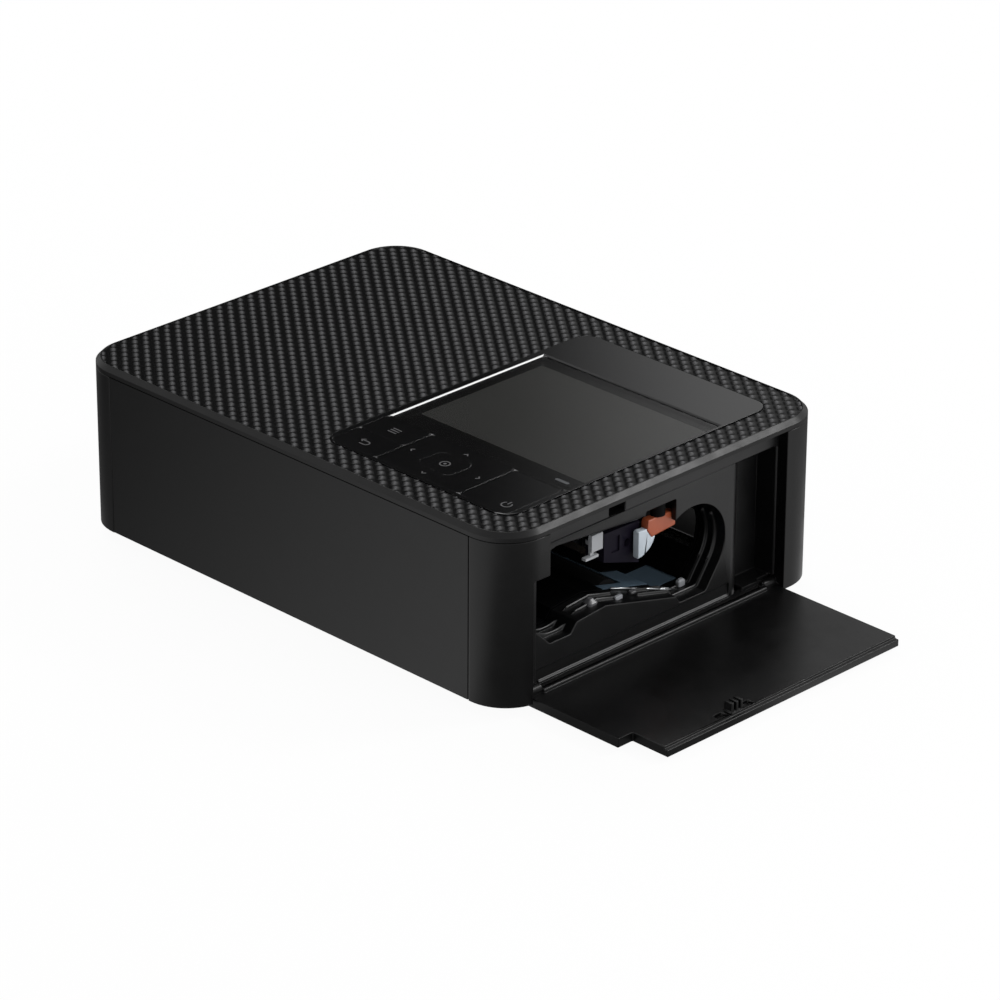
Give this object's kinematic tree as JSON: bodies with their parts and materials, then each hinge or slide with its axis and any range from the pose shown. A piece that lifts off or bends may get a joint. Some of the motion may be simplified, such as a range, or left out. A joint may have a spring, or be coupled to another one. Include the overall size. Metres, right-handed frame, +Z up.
{
  "type": "compact photo printer",
  "caption": "Flat, round-cornered photo printer with a screen and keys on top, a ribbon door hinged open at its side, a front paper flap and a print mechanism inside.",
  "frame": {"origin": "on the floor, at the centre of the body's footprint, without the open door", "axes": "+X to the side with the ribbon door, -Y to the front face with the flap, +Z up"},
  "size_m": [0.2277, 0.133, 0.0576],
  "materials": {
    "case_plastic": "satin moulded plastic",
    "woven_top": "embossed woven pattern with a polished bevel",
    "panel_gloss": "high gloss",
    "screen_glass": "tinted gloss",
    "screen_module": "matt",
    "light_pipe": "clear",
    "inner_plastic": "fine satin",
    "lever_orange": "satin",
    "white_nylon": "satin",
    "hub_plastic": "satin",
    "sensor_plastic": "satin",
    "cradle_steel": "smooth coated sheet",
    "plated_steel": "zinc plated",
    "bright_steel": "ground and bright",
    "head_aluminium": "extruded",
    "head_ceramic": "glazed",
    "head_cap": "satin",
    "roller_rubber": "matt",
    "circuit_board": "solder mask",
    "socket_metal": "bright",
    "motor_steel": "plated can",
    "brass": "turned"
  },
  "bodies": {
    "case": {"base_tray": "case_plastic", "body_shell": "case_plastic", "top_cover": "woven_top", "rubber_feet": "roller_rubber", "base_screws": "bright_steel", "flap_hinge_pins": "bright_steel", "door_hinge_pins": "bright_steel", "control_panel": "panel_gloss", "screen_glass": "screen_glass", "lcd_module": "screen_module", "status_light": "light_pipe", "key_board": "circuit_board", "bay_frame": "inner_plastic", "ribbon_cradle": "cradle_steel", "lever_spring": "bright_steel", "ribbon_sensor": "sensor_plastic", "right_side_frame": "cradle_steel", "left_side_frame": "plated_steel", "tie_rods": "bright_steel", "head_pivot_rod": "bright_steel", "paper_guide": "cradle_steel", "drive_motor": "motor_steel", "gear_plate": "plated_steel", "main_board": "circuit_board", "dc_inlet": "inner_plastic", "usb_c_port": "socket_metal", "usb_a_port": "socket_metal", "card_slot": "socket_metal"},
    "front_flap": {"front_flap": "case_plastic"},
    "ribbon_door": {"ribbon_door": "case_plastic"},
    "menu_button": {"menu_button": "panel_gloss"},
    "back_button": {"back_button": "panel_gloss"},
    "nav_pad": {"nav_pad": "panel_gloss"},
    "ok_button": {"ok_button": "panel_gloss"},
    "power_button": {"power_button": "panel_gloss"},
    "release_lever": {"release_lever": "lever_orange", "lever_slide": "inner_plastic", "latch_pawl": "white_nylon"},
    "print_head": {"head_heatsink": "head_aluminium", "thermal_head": "head_ceramic", "head_end_cap": "head_cap", "head_arms": "plated_steel"},
    "platen": {"platen_roller": "roller_rubber", "platen_shaft": "bright_steel"},
    "feed_shaft": {"feed_roller": "bright_steel", "feed_gear": "white_nylon"},
    "pinch_shaft": {"pinch_roller": "bright_steel"},
    "pickup_shaft": {"pickup_roller": "roller_rubber", "pickup_shaft": "bright_steel", "pickup_gear": "white_nylon"},
    "takeup_drive": {"takeup_hub": "hub_plastic", "takeup_gear": "white_nylon"},
    "supply_drive": {"supply_hub": "hub_plastic"},
    "idler": {"idler_gear": "white_nylon"},
    "motor_pinion": {"motor_pinion": "brass"}
  },
  "joints": [
    {"name": "door_hinge", "type": "hinge", "parent": "case", "child": "ribbon_door", "pos_m": [0.0874, 0, 0.0054], "axis": [0, -1, 0], "range_deg": [0, 90]},
    {"name": "flap_hinge", "type": "hinge", "parent": "case", "child": "front_flap", "pos_m": [0, -0.065, 0.0052], "axis": [1, 0, 0], "range_deg": [0, 90]},
    {"name": "menu_button_press", "type": "slide", "parent": "case", "child": "menu_button", "axis": [0, 0, -1], "range_m": [0, 0.0004], "stiffness_N_per_m": 1500, "springref_m": -0.0003},
    {"name": "back_button_press", "type": "slide", "parent": "case", "child": "back_button", "axis": [0, 0, -1], "range_m": [0, 0.0004], "stiffness_N_per_m": 1500, "springref_m": -0.0003},
    {"name": "nav_pad_press", "type": "slide", "parent": "case", "child": "nav_pad", "axis": [0, 0, -1], "range_m": [0, 0.0004], "stiffness_N_per_m": 1500, "springref_m": -0.0003},
    {"name": "ok_button_press", "type": "slide", "parent": "case", "child": "ok_button", "axis": [0, 0, -1], "range_m": [0, 0.0004], "stiffness_N_per_m": 1500, "springref_m": -0.0003},
    {"name": "power_button_press", "type": "slide", "parent": "case", "child": "power_button", "axis": [0, 0, -1], "range_m": [0, 0.0004], "stiffness_N_per_m": 1500, "springref_m": -0.0003},
    {"name": "lever_lift", "type": "slide", "parent": "case", "child": "release_lever", "axis": [0, 0, 1], "range_m": [0, 0.0025], "stiffness_N_per_m": 300, "springref_m": -0.002, "deforming": ["lever_spring"]},
    {"name": "head_tilt", "type": "hinge", "parent": "case", "child": "print_head", "pos_m": [0.0225, 0.0255, 0.047], "axis": [1, 0, 0], "range_deg": [0, 18], "stiffness_Nm_per_rad": 0.15, "springref_deg": -14.32},
    {"name": "feed_spin", "type": "hinge", "parent": "case", "child": "feed_shaft", "pos_m": [0.0225, 0.03245, 0.0146], "axis": [1, 0, 0], "continuous": true},
    {"name": "platen_spin", "type": "hinge", "parent": "case", "child": "platen", "pos_m": [0.0225, -0.006, 0.0134], "axis": [1, 0, 0], "continuous": true},
    {"name": "pinch_spin", "type": "hinge", "parent": "case", "child": "pinch_shaft", "pos_m": [0.0225, 0.03245, 0.00825], "axis": [1, 0, 0], "continuous": true},
    {"name": "pickup_spin", "type": "hinge", "parent": "case", "child": "pickup_shaft", "pos_m": [0.0225, -0.0275, 0.0154], "axis": [1, 0, 0], "continuous": true},
    {"name": "takeup_spin", "type": "hinge", "parent": "case", "child": "takeup_drive", "pos_m": [-0.028, 0.0141, 0.0271], "axis": [1, 0, 0], "continuous": true},
    {"name": "supply_spin", "type": "hinge", "parent": "case", "child": "supply_drive", "pos_m": [-0.028, -0.0395, 0.031], "axis": [1, 0, 0], "continuous": true},
    {"name": "idler_spin", "type": "hinge", "parent": "case", "child": "idler", "pos_m": [-0.028, -0.01204, 0.02338], "axis": [1, 0, 0], "continuous": true},
    {"name": "pinion_spin", "type": "hinge", "parent": "case", "child": "motor_pinion", "pos_m": [-0.028, -0.01717, 0.03747], "axis": [1, 0, 0], "continuous": true}
  ],
  "couplings": [
    {"joint": "takeup_spin", "follows": "feed_spin", "ratio": -0.48},
    {"joint": "idler_spin", "follows": "feed_spin", "ratio": 0.63158},
    {"joint": "pickup_spin", "follows": "feed_spin", "ratio": -1.2},
    {"joint": "pinion_spin", "follows": "feed_spin", "ratio": -2},
    {"joint": "pinch_spin", "follows": "feed_spin", "ratio": -1.8182}
  ]
}
